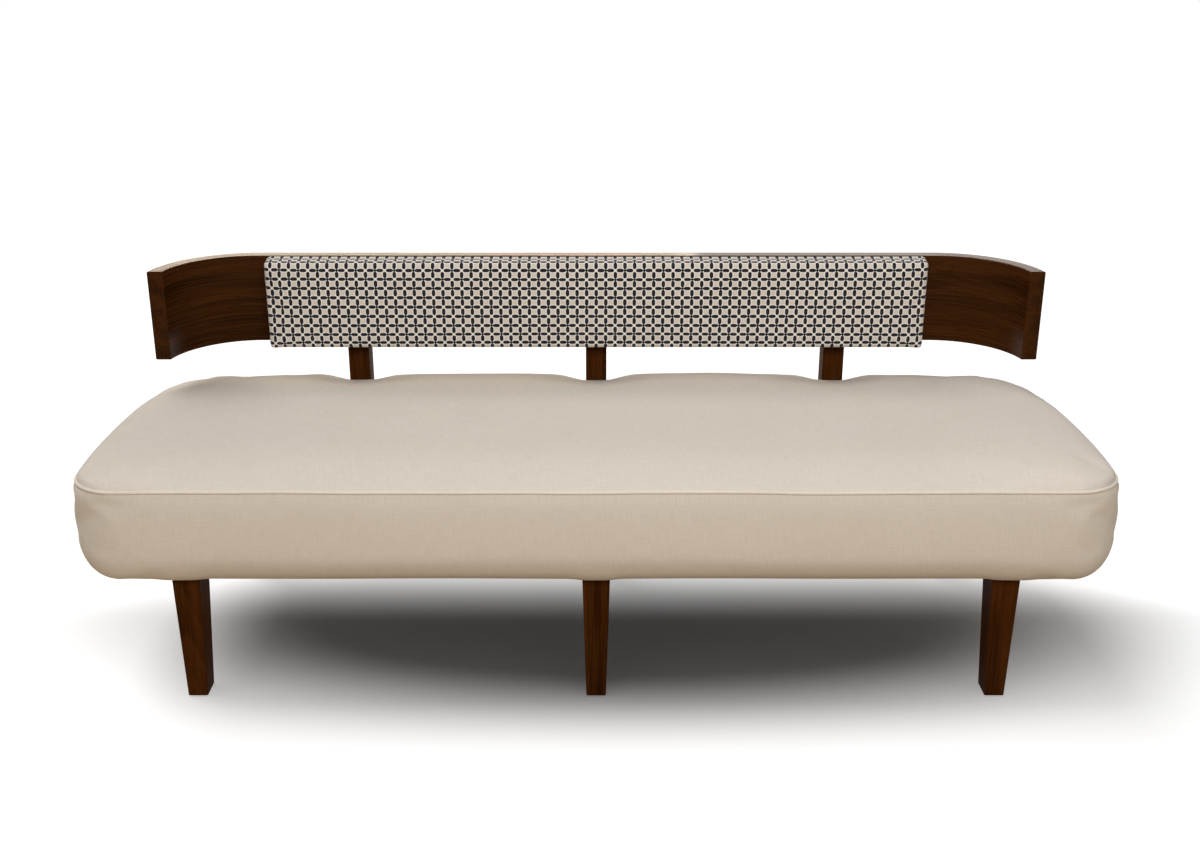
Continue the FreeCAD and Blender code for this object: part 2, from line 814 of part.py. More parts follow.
def rail_profile(body, name):
    """Draw the back rail from above: a straight run with an arc forward at each end."""
    sketch = new_sketch(body, name, "XY_Plane", "back_bottom")
    straight = value("back_straight / 2")
    front = value("post_front")
    rear = value("back_rear")
    end = value("back_rear - arm_reach")
    inner = value("arm_radius")
    outer = value("arm_radius + back_thickness")
    middle = front - inner
    inner_angle = math.degrees(math.asin((end - middle) / inner))
    outer_angle = math.degrees(math.asin((end - middle) / outer))
    inner_end = straight + math.sqrt(inner**2 - (end - middle) ** 2)
    outer_end = straight + math.sqrt(outer**2 - (end - middle) ** 2)
    sketch.addGeometry([
        line(straight, front, -straight, front),
        arc(-straight, middle, inner, 90, 180 - inner_angle),
        line(-inner_end, end, -outer_end, end),
        arc(-straight, middle, outer, 90, 180 - outer_angle),
        line(-straight, rear, straight, rear),
        arc(straight, middle, outer, outer_angle, 90),
        line(outer_end, end, inner_end, end),
        arc(straight, middle, inner, inner_angle, 90),
    ])
    sketch.addConstraint([
        Sketcher.Constraint("Tangent", 0, 2, 1, 1),
        Sketcher.Constraint("Coincident", 1, 2, 2, 1),
        Sketcher.Constraint("Coincident", 2, 2, 3, 2),
        Sketcher.Constraint("Tangent", 3, 1, 4, 1),
        Sketcher.Constraint("Tangent", 4, 2, 5, 2),
        Sketcher.Constraint("Coincident", 5, 1, 6, 1),
        Sketcher.Constraint("Coincident", 6, 2, 7, 1),
        Sketcher.Constraint("Tangent", 7, 2, 0, 1),
        Sketcher.Constraint("Coincident", 1, 3, 3, 3),
        Sketcher.Constraint("Coincident", 5, 3, 7, 3),
        Sketcher.Constraint("Horizontal", 2),
        Sketcher.Constraint("Horizontal", 6),
        Sketcher.Constraint("Symmetric", 0, 1, 0, 2, -2),
        Sketcher.Constraint("Equal", 1, 7),
        Sketcher.Constraint("Equal", 3, 5),
    ])
    dimension(sketch, "straight", "DistanceX", 0, 2, 0, 1, size="back_straight")
    dimension(sketch, "front", "DistanceY", -1, 1, 0, 1, size="post_front")
    dimension(sketch, "inner", "Radius", 1, size="arm_radius")
    dimension(sketch, "outer", "Radius", 3, size="arm_radius + back_thickness")
    dimension(sketch, "left_end", "DistanceY", 2, 2, 4, 1, size="arm_reach")
    dimension(sketch, "right_end", "DistanceY", 6, 1, 4, 2, size="arm_reach")
    return sketch


def back_rail(tongue_space):
    """Make the bent back rail, its long edges eased, mortised for the posts and grooved for the pad."""
    body = new_body("rail")
    raised = pad(body, "rail_pad", rail_profile(body, "rail_profile"), "back_height")
    doc.recompute()
    eased = body.newObject("PartDesign::Chamfer", "rail_eased")
    eased.Base = (raised, [face_at(raised, pick, "z") for pick in (min, max)])
    eased.setExpression("Size", formula("back_arris"))
    mortises = [post_tenon(f"post_mortise_{side}", step, "fit_clearance") for side, step in SIDES.items()]
    node("back_rail", cut("back_rail", body, group("post_mortises", mortises), tongue_space))


def tongue(name, slack="0"):
    """Make the loose tongue between the pad's board and the rail, or the groove for it with a slack."""
    reach = f"(tongue_depth + {slack})"
    return box(
        name,
        span("0", f"tongue_length + 2 * {slack}"),
        (f"post_front - {reach}", f"post_front + {reach}"),
        span("pad_middle", f"tongue_thickness + 2 * {slack}"),
    )


def back_pad(tongue_space):
    """Make the back pad: a board on the rail, held by its tongue, foam on the board and a cover over both."""
    outer = pad_form("pad_outer", pad_levels("0", "0"))
    inner = pad_form("pad_inner", pad_levels("cover_thickness", "0"))
    node("pad_cover", cut("pad_cover", outer, inner))
    node("pad_foam", pad_form("pad_foam_form", pad_levels("soft_gap", "board_thickness")))
    board = box(
        "board",
        even("pad_width / 2 - soft_gap"),
        ("post_front - board_thickness", "post_front"),
        span("pad_middle", "pad_height - 2 * soft_gap"),
    )
    node("pad_board", cut("pad_board", board, tongue_space))
    node("pad_tongue", tongue("pad_tongue"))


def check():
    """Stop if any feature failed or any sub-part is not a sound solid."""
    doc.recompute()
    for item in doc.Objects:
        if {"Invalid", "Error"} & set(item.State):
            raise RuntimeError(f"{item.Label} failed")
    for label, solid in nodes.items():
        shape = solid.Shape
        if shape.isNull() or not shape.isValid() or not shape.Solids:
            raise RuntimeError(f"{label} is not a sound solid")


def write():
    """Write each sub-part to a file named for it."""
    os.makedirs("parts", exist_ok=True)
    for label, solid in nodes.items():
        solid.Shape.exportStep(f"parts/{label}.step")
        print(f"{label}: {len(solid.Shape.Solids)} solids, {solid.Shape.Volume / 1000:.1f} cm3")


fill_sheet()
seat_frame()
suspension()
post_space = post_spaces()
seat_covers(post_space)
seat_filling(post_space)
legs()
posts()
tongue_groove = tongue("tongue_groove", "fit_clearance")
back_rail(tongue_groove)
back_pad(tongue_groove)
check()
write()
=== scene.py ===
"""Looks of a settee bench: a boxed, piped linen seat, a bent-wood back rail and a patterned back pad."""

import logging
from collections.abc import Callable
from dataclasses import dataclass
from enum import Enum
from math import pi, radians

import bmesh
import bpy
import numpy as np
from bmesh.types import BMesh as Form
from bpy.types import Material, Mesh, Node, NodeSocket, Object as Item, World
from mathutils import Matrix, Vector


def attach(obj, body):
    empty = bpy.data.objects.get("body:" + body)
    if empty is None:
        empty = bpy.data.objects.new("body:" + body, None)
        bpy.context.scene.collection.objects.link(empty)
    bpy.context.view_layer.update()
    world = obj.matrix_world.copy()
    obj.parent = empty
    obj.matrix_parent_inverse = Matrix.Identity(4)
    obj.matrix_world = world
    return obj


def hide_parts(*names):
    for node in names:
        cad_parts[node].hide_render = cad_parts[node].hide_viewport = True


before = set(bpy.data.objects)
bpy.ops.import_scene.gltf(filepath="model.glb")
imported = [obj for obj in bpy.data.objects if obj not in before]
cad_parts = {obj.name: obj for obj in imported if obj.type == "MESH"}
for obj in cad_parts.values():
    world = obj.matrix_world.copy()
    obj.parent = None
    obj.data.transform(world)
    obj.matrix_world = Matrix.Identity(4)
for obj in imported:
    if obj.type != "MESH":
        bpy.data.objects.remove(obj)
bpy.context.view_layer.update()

BODY = "root"
LOG = logging.getLogger("settee_bench")
SIDES = {"left": -1, "centre": 0, "right": 1}
TINY = 1e-5
NIL = 1e-9

Colour = tuple[float, float, float]
Triple = tuple[float, float, float]
Pair = tuple[float, float]
Counts = tuple[int, int, int]
Array = np.ndarray


class Grain(Enum):
    """Which way the fibres of a wooden piece run."""

    UPRIGHT = "upright"
    ACROSS = "across"
    DEPTH = "depth"
    BEND = "bend"


class Cloth(Enum):
    """What a cloth's weave follows."""

    UNROLLED = "UV"
    OBJECT = "Object"


def assign(owner: object, **settings: object) -> None:
    """Set several of an owner's settings."""
    for key, value in settings.items():
        setattr(owner, key, value)


def calculation(operation: str) -> Callable[..., "Term"]:
    """Give a method that works out one number from a term and other values."""
    return lambda term, *values: term.graph.math(operation, term, *values)


@dataclass(frozen=True)
class Term:
    """A value in a node tree, which takes plain arithmetic."""

    graph: "Graph"
    socket: NodeSocket

    __add__ = calculation("ADD")
    __sub__ = calculation("SUBTRACT")
    __mul__ = calculation("MULTIPLY")
    __truediv__ = calculation("DIVIDE")
    __mod__ = calculation("FLOORED_MODULO")
    __pow__ = calculation("POWER")
    __abs__ = calculation("ABSOLUTE")
    __round__ = calculation("ROUND")
    least = calculation("MINIMUM")
    most = calculation("MAXIMUM")
    sign = calculation("SIGN")
    sine = calculation("SINE")
    root = calculation("SQRT")
    fraction = calculation("FRACT")
    angle = calculation("ARCTAN2")
    bounce = calculation("PINGPONG")

    def __rsub__(self, other: float) -> "Term":
        """Take the value from a number."""
        return self.graph.math("SUBTRACT", other, self)

    def far(self, other: "Term") -> "Term":
        """Give the length of the diagonal of two sides."""
        return (self * self + other * other).root()

    def split(self) -> tuple["Term", "Term", "Term"]:
        """Give a vector's three parts."""
        return tuple(Term(self.graph, part) for part in self.graph.add("ShaderNodeSeparateXYZ", {0: self}).outputs)

    def noise(self, scale: float | Triple, detail: float = 2.0, roughness: float = 0.5) -> "Term":
        """Give a soft noise from 0 to 1 at a place.

        Args:
            scale: How many lumps there are in a metre, or in a metre along each axis.
            detail: How many finer layers it has.
            roughness: How strong the finer layers are.

        Returns:
            The noise.
        """
        place = self
        if isinstance(scale, tuple):
            place, scale = self.graph.term("ShaderNodeMapping", {"Vector": self, "Scale": scale}), 1.0
        inputs = {"Vector": place, "Scale": scale, "Detail": detail, "Roughness": roughness}
        return self.graph.term("ShaderNodeTexNoise", inputs)

    def weave(self, other: "Term", thread: float) -> "Term":
        """Give the height, from -1 to 1, of a plain weave along two places, where thread is its pitch."""
        pitch = 2 * pi / thread
        return (self * pitch).sine() * (other * pitch).sine()

    def spread(self, low: float, high: float, start: float = 0.0, end: float = 1.0) -> "Term":
        """Map the range from low to high smoothly on the one from start to end, and stop at its ends."""
        inputs = {"Value": self, "From Min": low, "From Max": high, "To Min": start, "To Max": end}
        return self.graph.term("ShaderNodeMapRange", inputs, interpolation_type="SMOOTHSTEP")

    def mix(self, first: object, second: object) -> "Term":
        """Mix two colours, with this share of the second."""
        return self.graph.term("ShaderNodeMix", {0: self, 6: first, 7: second}, 2, data_type="RGBA")

    def bump(self, distance: float, strength: float) -> "Term":
        """Turn a height into a normal, where distance is what a height of 1 is in metres."""
        return self.graph.term("ShaderNodeBump", {"Height": self, "Distance": distance, "Strength": strength})


class Graph:
    """Builds the node tree of a material or a world."""

    def __init__(self, owner: str | World) -> None:
        """Start an empty tree.

        Args:
            owner: The world that gets it, or the name of a new material.
        """
        self.owner = bpy.data.materials.new(owner) if isinstance(owner, str) else owner
        self.owner.use_nodes = True
        self.tree = self.owner.node_tree
        self.tree.nodes.clear()

    def add(self, kind: str, inputs: dict, **settings: object) -> Node:
        """Add a node.

        Args:
            kind: The node's type.
            inputs: Terms or plain values for its inputs, by name or number.
            **settings: The node's own settings.

        Returns:
            The new node.
        """
        node = self.tree.nodes.new(kind)
        assign(node, **settings)
        for key, value in inputs.items():
            socket = node.inputs[key]
            if isinstance(value, Term):
                self.tree.links.new(value.socket, socket)
            else:
                socket.default_value = (*value, 1.0) if socket.type == "RGBA" else value
        return node

    def term(self, kind: str, inputs: dict, output: int | str = 0, **settings: object) -> Term:
        """Add a node, and give one of its outputs by name or number."""
        return Term(self, self.add(kind, inputs, **settings).outputs[output])

    def math(self, operation: str, *values: object) -> Term:
        """Work out one number from terms or numbers."""
        return self.term("ShaderNodeMath", dict(enumerate(values)), operation=operation)

    def place(self, cloth: Cloth = Cloth.OBJECT) -> Term:
        """Give the place on the piece, in metres."""
        return self.term("ShaderNodeTexCoord", {}, cloth.value)

    def seen(self) -> Term:
        """Give 1 to rays that show, straight, mirrored or through glass, and 0 to rays that light.

        Returns:
            The number.
        """
        rays = self.add("ShaderNodeLightPath", {}).outputs
        camera, glossy, through = (Term(self, rays[f"Is {kind} Ray"]) for kind in ("Camera", "Glossy", "Transmission"))
        return camera.most(glossy).most(through)

    def finish(self, **inputs: object) -> Material:
        """Close a material's tree with a surface shader.

        Args:
            **inputs: The shader's inputs, with _ for a space.

        Returns:
            The finished material.
        """
        named = {key.replace("_", " "): value for key, value in inputs.items()}
        self.add("ShaderNodeOutputMaterial", {"Surface": self.term("ShaderNodeBsdfPrincipled", named)})
        return self.owner


@dataclass(frozen=True)
class Linen:
    """A plain-woven linen with slubbed threads."""

    name: str
    cloth: Cloth
    light: Colour = (0.70, 0.635, 0.56)
    dark: Colour = (0.575, 0.51, 0.435)
    thread: float = 0.0011
    slub: Pair = (30.0, 900.0)
    cloud: float = 5.0
    cloud_share: float = 0.16
    weave_share: float = 0.22
    relief: float = 0.0005

    def build(self) -> Material:
        """Make the linen's material: slubs both ways, a fine weave and slow changes of tone.

        Returns:
            The material.
        """
        graph = Graph(self.name)
        place = graph.place(self.cloth)
        u, v, w = place.split()
        long, fine = self.slub
        slub = place.noise((long, fine, fine), 3.0) * 0.5 + place.noise((fine, long, long), 3.0) * 0.5
        weave = u.weave(v + w, self.thread) * 0.5 + 0.5
        tone = weave * self.weave_share + slub.spread(0.32, 0.68, 0.05, 0.75)
        cloud = place.noise(self.cloud, 3.0).spread(0.35, 0.65, 0.0, self.cloud_share)
        return graph.finish(
            Base_Color=cloud.mix(tone.mix(self.dark, self.light), self.dark),
            Roughness=slub.spread(0.3, 0.7, 0.96, 0.84),
            Normal=(weave * 0.5 + slub * 0.9).bump(self.relief, 0.55),
            Sheen_Weight=0.12,
            Sheen_Roughness=0.5,
            Specular_IOR_Level=0.15,
        )


@dataclass(frozen=True)
class LatticeCloth:
    """A woven cloth with a lattice of dark ovals, its nodes light crosses and dark crosses by turns.

    The pattern's sizes are shares of a column or row. An edge is where a part fades out and where it is full.
    """

    name: str
    column: float = 0.01937
    row: float = 0.0196
    row_start: float = 0.6875
    ground: Colour = (0.655, 0.585, 0.510)
    line: Colour = (0.845, 0.790, 0.715)
    ink: Colour = (0.0065, 0.0085, 0.016)
    thread: float = 0.0009
    slub: Pair = (60.0, 1100.0)
    drift: float = 0.05
    oval_half: Pair = (0.19, 0.355)
    oval_powers: Pair = (2.4, 3.2)
    oval_edge: Pair = (1.15, 0.85)
    halo_half: Pair = (0.27, 0.49)
    halo_edge: Pair = (1.12, 0.88)
    stroke_edge: Pair = (0.085, 0.05)
    stroke_end: Pair = (0.26, 0.2)
    dot_edge: Pair = (0.21, 0.15)
    cross_edge: Pair = (0.075, 0.045)
    cross_end: Pair = (0.34, 0.28)

    def ovals(self, near: tuple[Term, Term], half: Pair) -> Term:
        """Give how far a point is from the ovals' outlines, which are at 1.

        Args:
            near: How far the point is from the nearest column and row.
            half: An oval's half width and half length.

        Returns:
            The distance.
        """
        shapes = []
        for across, along in (near, near[::-1]):
            parts = zip((across, 0.5 - along), half, self.oval_powers)
            slim, tall = ((off / size) ** power for off, size, power in parts)
            shapes.append(slim + tall)
        return shapes[0].least(shapes[1])

    def pattern(self, across: Term, down: Term) -> tuple[Term, Term]:
        """Give how light and how dark the pattern is at a place.

        Args:
            across: The place in columns.
            down: The place in rows.

        Returns:
            The light share and the dark share.
        """
        columns, rows = round(across), round(down)
        near = abs(across - columns), abs(down - rows)
        odd = (columns + rows) % 2.0
        narrow, broad = near[0].least(near[1]), near[0].most(near[1])
        ovals = self.ovals(near, self.oval_half).spread(*self.oval_edge)
        halo = self.ovals(near, self.halo_half).spread(*self.halo_edge)
        stroke = narrow.spread(*self.stroke_edge) * broad.spread(*self.stroke_end)
        plus = odd * stroke.most((narrow + broad).spread(*self.dot_edge))
        cross = (broad - narrow).spread(*self.cross_edge) * broad.spread(*self.cross_end)
        return halo.most((1.0 - odd) * cross), ovals.most(plus)

    def build(self) -> Material:
        """Make the cloth's material on the piece's unrolled coordinates.

        Returns:
            The material.
        """
        graph = Graph(self.name)
        place = graph.place(Cloth.UNROLLED)
        u, v, _ = place.split()
        drift = place.noise(9.0) * self.drift - self.drift / 2
        light, dark = self.pattern(u / self.column + drift, (v - self.row_start) / self.row + drift)
        long, fine = self.slub
        slub = (place.noise((long, fine, 1.0)) + place.noise((fine, long, 1.0))) * 0.5
        shaded = slub.spread(0.35, 0.65, 0.22, 0.0).mix(light.mix(self.ground, self.line), self.ground)
        inked = slub.spread(0.4, 0.7, 0.0, 0.05).mix(self.ink, self.ground)
        weave = u.weave(v, self.thread) * 0.25 + slub
        return graph.finish(
            Base_Color=dark.mix(shaded, inked),
            Roughness=slub.spread(0.3, 0.7, 0.95, 0.82),
            Normal=(dark * 0.35 + weave).bump(0.0005, 0.5),
            Sheen_Weight=0.08,
            Sheen_Roughness=0.5,
            Specular_IOR_Level=0.18,
        )


@dataclass(frozen=True)
class Wood:
    """A wood with growth rings, fibres and pores that follow the piece."""

    name: str
    grain: Grain
    dark: Colour = (0.017, 0.0050, 0.0012)
    middle: Colour = (0.043, 0.0125, 0.0026)
    light: Colour = (0.088, 0.0310, 0.0080)
    gloss: Pair = (0.22, 0.32)
    specular: float = 0.045
    relief: float = 0.14
    glint: Colour = (1.0, 0.66, 0.40)
    ring: float = 0.0065
    figure: float = 0.26
    drift: Pair = (0.14, 0.12)
    waver: float = 0.005
    board: float = 0.09
    bend_start: float = 0.690
    bend_centre: float = 0.103
    bend_radius: float = 0.175

    def fibres(self, place: Term) -> tuple[Term, Term, Term]:
        """Give the place along the fibres, and the two places across them.

        Args:
            place: The place on the piece.

        Returns:
            The three places, in metres.
        """
        x, y, z = place.split()
        straight = {Grain.UPRIGHT: (z, x, y), Grain.ACROSS: (x, z, y), Grain.DEPTH: (y, x, z)}
        if self.grain in straight:
            return straight[self.grain]
        out = abs(x)
        over = (out - self.bend_start).most(0.0)
        back = y - self.bend_centre
        run = out.least(self.bend_start) + over.angle(back) * self.bend_radius
        return run * x.sign(), z, over.far(back) - self.bend_radius

    def build(self) -> Material:
        """Make the wood's material.

        Returns:
            The material.
        """
        graph = Graph(self.name)
        along, wide, deep = self.fibres(graph.place())
        place = graph.term("ShaderNodeCombineXYZ", {0: along, 1: wide, 2: deep})
        rise = place.noise((0.9, 4.0, 4.0)) * self.drift[0] + deep
        span = place.noise((0.9, 0.4, 0.4)) * self.drift[1] + wide
        waver = place.noise((4.0, 60.0, 60.0), 3.0) * self.waver
        count = ((rise.far(span.bounce(self.board)) + waver) / self.ring).fraction()
        rings = count**1.6 * count.spread(1.0, 0.82)
        fibre = place.noise((9.0, 420.0, 420.0), 4.0, 0.6)
        pore = place.noise((45.0, 1500.0, 1500.0))
        streak = place.noise((2.2, 38.0, 38.0), 3.0)
        ringed = (rings * self.figure).mix(streak.spread(0.3, 0.7).mix(self.dark, self.middle), self.light)
        fibred = fibre.spread(0.45, 0.75, 0.0, 0.45).mix(ringed, self.light)
        return graph.finish(
            Base_Color=pore.spread(0.56, 0.68, 0.0, 0.7).mix(fibred, self.dark),
            Roughness=fibre.spread(0.3, 0.7, *self.gloss),
            Normal=(pore * -0.6 + fibre * 0.5).bump(0.0002, self.relief),
            Specular_IOR_Level=self.specular,
            Specular_Tint=self.glint,
        )


@dataclass(frozen=True)
class Speckle:
    """A plain finish with a fine grain, such as felt, bonded cloth or plated steel."""

    name: str
    dark: Colour
    light: Colour
    size: float
    relief: float
    gloss: Pair = (0.95, 0.85)
    metal: float = 0.0
    patch: float = 0.06

    def build(self) -> Material:
        """Make the finish's material.

        Returns:
            The material.
        """
        graph = Graph(self.name)
        place = graph.place()
        fine = place.noise(1.0 / self.size, 3.0, 0.6)
        tone = place.noise(self.patch / self.size, 3.0) * 0.5 + fine * 0.5
        return graph.finish(
            Base_Color=tone.spread(0.35, 0.65).mix(self.dark, self.light),
            Roughness=fine.spread(0.3, 0.7, *self.gloss),
            Metallic=self.metal,
            Normal=fine.bump(self.relief, 0.6),
        )


@dataclass(frozen=True)
class Webbing:
    """A coarse jute webbing, its ribs across the strap."""

    name: str
    dark: Colour = (0.085, 0.058, 0.034)
    light: Colour = (0.19, 0.14, 0.085)
    rib: float = 0.0032
    fuzz: float = 900.0
    relief: float = 0.0008

    def build(self) -> Material:
        """Make the webbing's material.

        Returns:
            The material.
        """
        graph = Graph(self.name)
        place = graph.place()
        x, y, _ = place.split()
        fuzz = place.noise(self.fuzz, 3.0)
        tone = (x.weave(y, self.rib) * 0.5 + 0.5) * 0.55 + fuzz * 0.45
        return graph.finish(
            Base_Color=tone.mix(self.dark, self.light),
            Roughness=fuzz.spread(0.3, 0.7, 0.96, 0.86),
            Normal=tone.bump(self.relief, 0.8),
        )


# Shared mesh work


def smooth_step(value: Array, low: float, high: float) -> Array:
    """Rise smoothly from 0 at low to 1 at high."""
    share = np.clip((value - low) / (high - low), 0.0, 1.0)
    return share * share * (3.0 - 2.0 * share)


def blend(ends: Pair, share: Array) -> Array:
    """Go evenly from the first end at 0 to the second at 1."""
    return ends[0] + (ends[1] - ends[0]) * share


def read_points(mesh: Mesh) -> Array:
    """Give a mesh's points, one row each."""
    return np.array([tuple(vert.co) for vert in mesh.vertices])


def write_points(mesh: Mesh, points: Array) -> None:
    """Set a mesh's points, one row each."""
    mesh.vertices.foreach_set("co", points.astype(np.float32).ravel())
    mesh.update()


def corners(mesh: Mesh) -> tuple[Array, Array]:
    """Give the points and the faces' normals of each corner of each face, one row each."""
    points = [tuple(mesh.vertices[index].co) for face in mesh.polygons for index in face.vertices]
    return np.array(points), np.array([tuple(face.normal) for face in mesh.polygons for _ in face.vertices])


def unroll(mesh: Mesh, flat: Array) -> None:
    """Give a mesh unrolled cloth coordinates, two in metres for each corner of each face."""
    layer = mesh.uv_layers.new(name="unrolled")
    layer.data.foreach_set("uv", flat.astype(np.float32).ravel())


def add_object(name: str, data: bpy.types.ID | Form) -> Item:
    """Put a new object in the scene.

    Args:
        name: Its name.
        data: Its data, or a form to make its mesh of, which is used up.

    Returns:
        The object.
    """
    if isinstance(data, Form):
        form, data = data, bpy.data.meshes.new(name)
        bmesh.ops.recalc_face_normals(form, faces=form.faces)
        form.to_mesh(data)
        form.free()
    item = bpy.data.objects.new(name, data)
    bpy.context.scene.collection.objects.link(item)
    return item


def baked(item: Item) -> Mesh:
    """Give an object's mesh with its modifiers, or a curve's thickness, applied."""
    graph = bpy.context.evaluated_depsgraph_get()
    return bpy.data.meshes.new_from_object(item.evaluated_get(graph), depsgraph=graph)


def apply(item: Item, kind: str, **settings: object) -> None:
    """Work a modifier into an object's own mesh.

    Args:
        item: The object to change in place.
        kind: The modifier's type.
        **settings: The modifier's settings.
    """
    assign(item.modifiers.new(kind, kind), **settings)
    made = baked(item)
    item.modifiers.clear()
    item.data = made


def add_grid(form: Form, parts: tuple[int, int], half: Pair, level: float = 0.0) -> list[bmesh.types.BMVert]:
    """Add a flat grid about the origin.

    Args:
        form: The form to add to.
        parts: Its parts along X and Y.
        half: Its half sizes.
        level: Its height.

    Returns:
        Its points.
    """
    made = bmesh.ops.create_grid(form, x_segments=parts[0], y_segments=parts[1], size=1.0)["verts"]
    bmesh.ops.scale(form, vec=(*half, 1.0), verts=made)
    bmesh.ops.translate(form, vec=(0.0, 0.0, level), verts=made)
    return made


def gridded_block(low: Triple, high: Triple, parts: Counts) -> Form:
    """Make a block with an even grid on each side.

    Args:
        low: Its lowest corner.
        high: Its highest corner.
        parts: Its parts along X, Y and Z.

    Returns:
        The block.
    """
    form = bmesh.new()
    bmesh.ops.create_cube(form, size=1.0)
    bmesh.ops.scale(form, vec=[end - start for start, end in zip(low, high)], verts=form.verts)
    bmesh.ops.translate(form, vec=[(start + end) / 2 for start, end in zip(low, high)], verts=form.verts)
    for axis, count in enumerate(parts):
        lines = [edge for edge in form.edges if abs(edge.verts[0].co[axis] - edge.verts[1].co[axis]) > TINY]
        if count > 1:
            bmesh.ops.subdivide_edges(form, edges=lines, cuts=count - 1, use_grid_fill=True)
    return form


def dress(item: Item, material: Material, stands_for: tuple[str, ...] = (), smooth: bool = True) -> None:
    """Give a new piece its material, shading and body, and hide the CAD nodes that it stands for.

    Args:
        item: The piece.
        material: Its material.
        stands_for: The CAD nodes that it replaces.
        smooth: Whether its faces shade smoothly.
    """
    item.data.materials.clear()
    item.data.materials.append(material)
    item.data.shade_smooth() if smooth else item.data.shade_flat()
    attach(item, BODY)
    if stands_for:
        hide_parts(*stands_for)
    LOG.info("%s: %d faces", item.name, len(item.data.polygons))


@dataclass(frozen=True)
class Puff:
    """How a filling blows up a sewn cover, run as a cloth simulation."""

    pressure: float
    cap: float
    tension: float = 15.0
    bending: float = 0.5
    mass: float = 0.3
    quality: int = 5
    frames: int = 20

    def run(self, item: Item, held: Array) -> None:
        """Blow up a piece, and keep the result in its mesh. No point moves further than the cap.

        Args:
            item: The piece.
            held: Which of its points stay where they are.
        """
        pins = item.vertex_groups.new(name="held")
        pins.add([int(number) for number in np.flatnonzero(held)], 1.0, "REPLACE")
        cloth = item.modifiers.new("puff", "CLOTH")
        assign(cloth.settings, tension_stiffness=self.tension, compression_stiffness=self.tension)
        assign(cloth.settings, shear_stiffness=self.tension / 2, bending_stiffness=self.bending)
        assign(cloth.settings, quality=self.quality, mass=self.mass, vertex_group_mass=pins.name)
        assign(cloth.settings, use_pressure=True, uniform_pressure_force=self.pressure)
        cloth.settings.effector_weights.gravity = 0.0
        cloth.collision_settings.use_collision = False
        assign(cloth.point_cache, frame_start=1, frame_end=self.frames)
        scene = bpy.context.scene
        for number in range(1, self.frames + 1):
            scene.frame_set(number)
        start = read_points(item.data)
        move = read_points(item.evaluated_get(bpy.context.evaluated_depsgraph_get()).data) - start
        item.modifiers.clear()
        item.vertex_groups.clear()
        scene.frame_set(1)
        length = np.linalg.norm(move, axis=1, keepdims=True)
        write_points(item.data, start + move * self.cap / np.sqrt(self.cap**2 + length**2))


# Sub-assemblies


